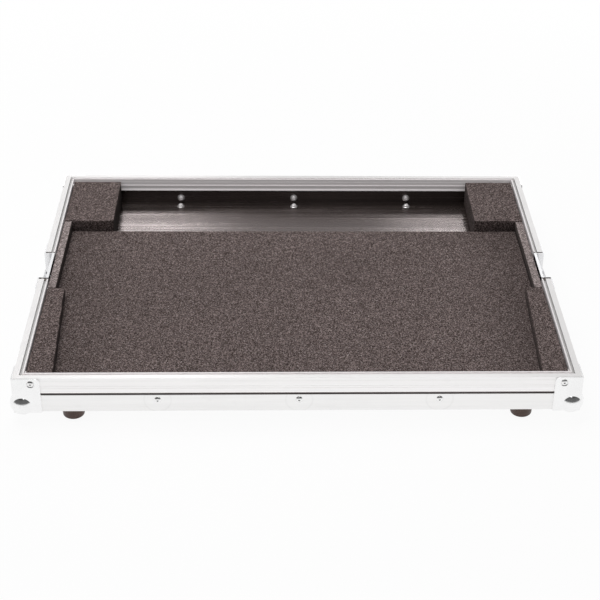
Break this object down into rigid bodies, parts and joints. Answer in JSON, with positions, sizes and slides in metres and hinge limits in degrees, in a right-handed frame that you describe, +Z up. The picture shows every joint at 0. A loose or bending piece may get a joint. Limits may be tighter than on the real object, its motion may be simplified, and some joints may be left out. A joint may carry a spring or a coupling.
{
  "type": "guitar pedal case",
  "caption": "Shallow flight-case tray for effect pedals: laminated panels in aluminium edging, ball corners, foam bed, cable bay, rubber feet and recessed butterfly latches.",
  "frame": {"origin": "on the ground under the middle of the tray, in the plane of the feet's soles", "axes": "+X to the right along the width, +Y from the front wall to the back wall, +Z up out of the open top"},
  "size_m": [0.663, 0.533, 0.061],
  "materials": {
    "black_laminate": "black high-gloss laminate on plywood",
    "rim_aluminium": "satin extruded, fine flutes",
    "angle_aluminium": "satin mill finish with fine scratches",
    "corner_steel": "bright zinc plate",
    "rivet_steel": "plain steel",
    "zinc_steel": "zinc plate",
    "rubber": "dark moulded rubber",
    "foam": "dark open-cell foam, fine speckle",
    "foam_strip": "grey-brown open-cell foam",
    "latch_steel": "zinc plate",
    "latch_hardware": "zinc plate, satin"
  },
  "bodies": {
    "tray": {"angle_rivets": "rivet_steel", "back_angle": "angle_aluminium", "back_panel": "black_laminate", "back_rim": "rim_aluminium", "corner_back_left": "corner_steel", "corner_back_right": "corner_steel", "corner_front_left": "corner_steel", "corner_front_right": "corner_steel", "corner_rivets": "rivet_steel", "dish_low_rivets": "rivet_steel", "dish_top_rivets": "rivet_steel", "floor_panel": "black_laminate", "floor_rivets": "rivet_steel", "foam_base": "foam", "foam_front_block_left": "foam", "foam_front_block_right": "foam", "foam_rear_block_left": "foam", "foam_rear_block_right": "foam", "foam_strip_left": "foam_strip", "foam_strip_right": "foam_strip", "foot_back_left": "rubber", "foot_back_right": "rubber", "foot_front_left": "rubber", "foot_front_right": "rubber", "foot_screws": "zinc_steel", "foot_washers": "zinc_steel", "front_angle": "angle_aluminium", "front_panel": "black_laminate", "front_rim": "rim_aluminium", "left_angle": "angle_aluminium", "left_latch_bridge": "latch_hardware", "left_latch_dish": "latch_steel", "left_latch_pivot": "latch_hardware", "left_latch_spring": "latch_hardware", "left_panel": "black_laminate", "left_rim_front": "rim_aluminium", "left_rim_rear": "rim_aluminium", "right_angle": "angle_aluminium", "right_latch_bridge": "latch_hardware", "right_latch_dish": "latch_steel", "right_latch_pivot": "latch_hardware", "right_latch_spring": "latch_hardware", "right_panel": "black_laminate", "right_rim_front": "rim_aluminium", "right_rim_rear": "rim_aluminium", "rivet_washers": "zinc_steel"},
    "left_hub": {"left_latch_hub": "latch_hardware", "left_latch_wing_pin": "latch_hardware"},
    "left_wing": {"left_latch_wing": "latch_hardware"},
    "left_hook": {"left_latch_hook": "latch_hardware"},
    "right_hub": {"right_latch_hub": "latch_hardware", "right_latch_wing_pin": "latch_hardware"},
    "right_wing": {"right_latch_wing": "latch_hardware"},
    "right_hook": {"right_latch_hook": "latch_hardware"}
  },
  "joints": [
    {"name": "left_latch_turn", "type": "hinge", "parent": "tray", "child": "left_hub", "pos_m": [-0.3203, 0, 0.042], "axis": [-1, 0, 0], "range_deg": [0, 180]},
    {"name": "left_wing_flip", "type": "hinge", "parent": "left_hub", "child": "left_wing", "pos_m": [-0.3221, 0, 0.048], "axis": [0, 1, 0], "range_deg": [0, 90]},
    {"name": "left_hook_slide", "type": "slide", "parent": "tray", "child": "left_hook", "axis": [0, 0, 1], "range_m": [0, 0.00905]},
    {"name": "right_latch_turn", "type": "hinge", "parent": "tray", "child": "right_hub", "pos_m": [0.3203, 0, 0.042], "axis": [1, 0, 0], "range_deg": [0, 180]},
    {"name": "right_wing_flip", "type": "hinge", "parent": "right_hub", "child": "right_wing", "pos_m": [0.3221, 0, 0.048], "axis": [0, -1, 0], "range_deg": [0, 90]},
    {"name": "right_hook_slide", "type": "slide", "parent": "tray", "child": "right_hook", "axis": [0, 0, 1], "range_m": [0, 0.00905]}
  ],
  "couplings": [
    {"joint": "left_hook_slide", "follows": "left_latch_turn", "m_per_rad": 0.0028648},
    {"joint": "right_hook_slide", "follows": "right_latch_turn", "m_per_rad": 0.0028648}
  ]
}
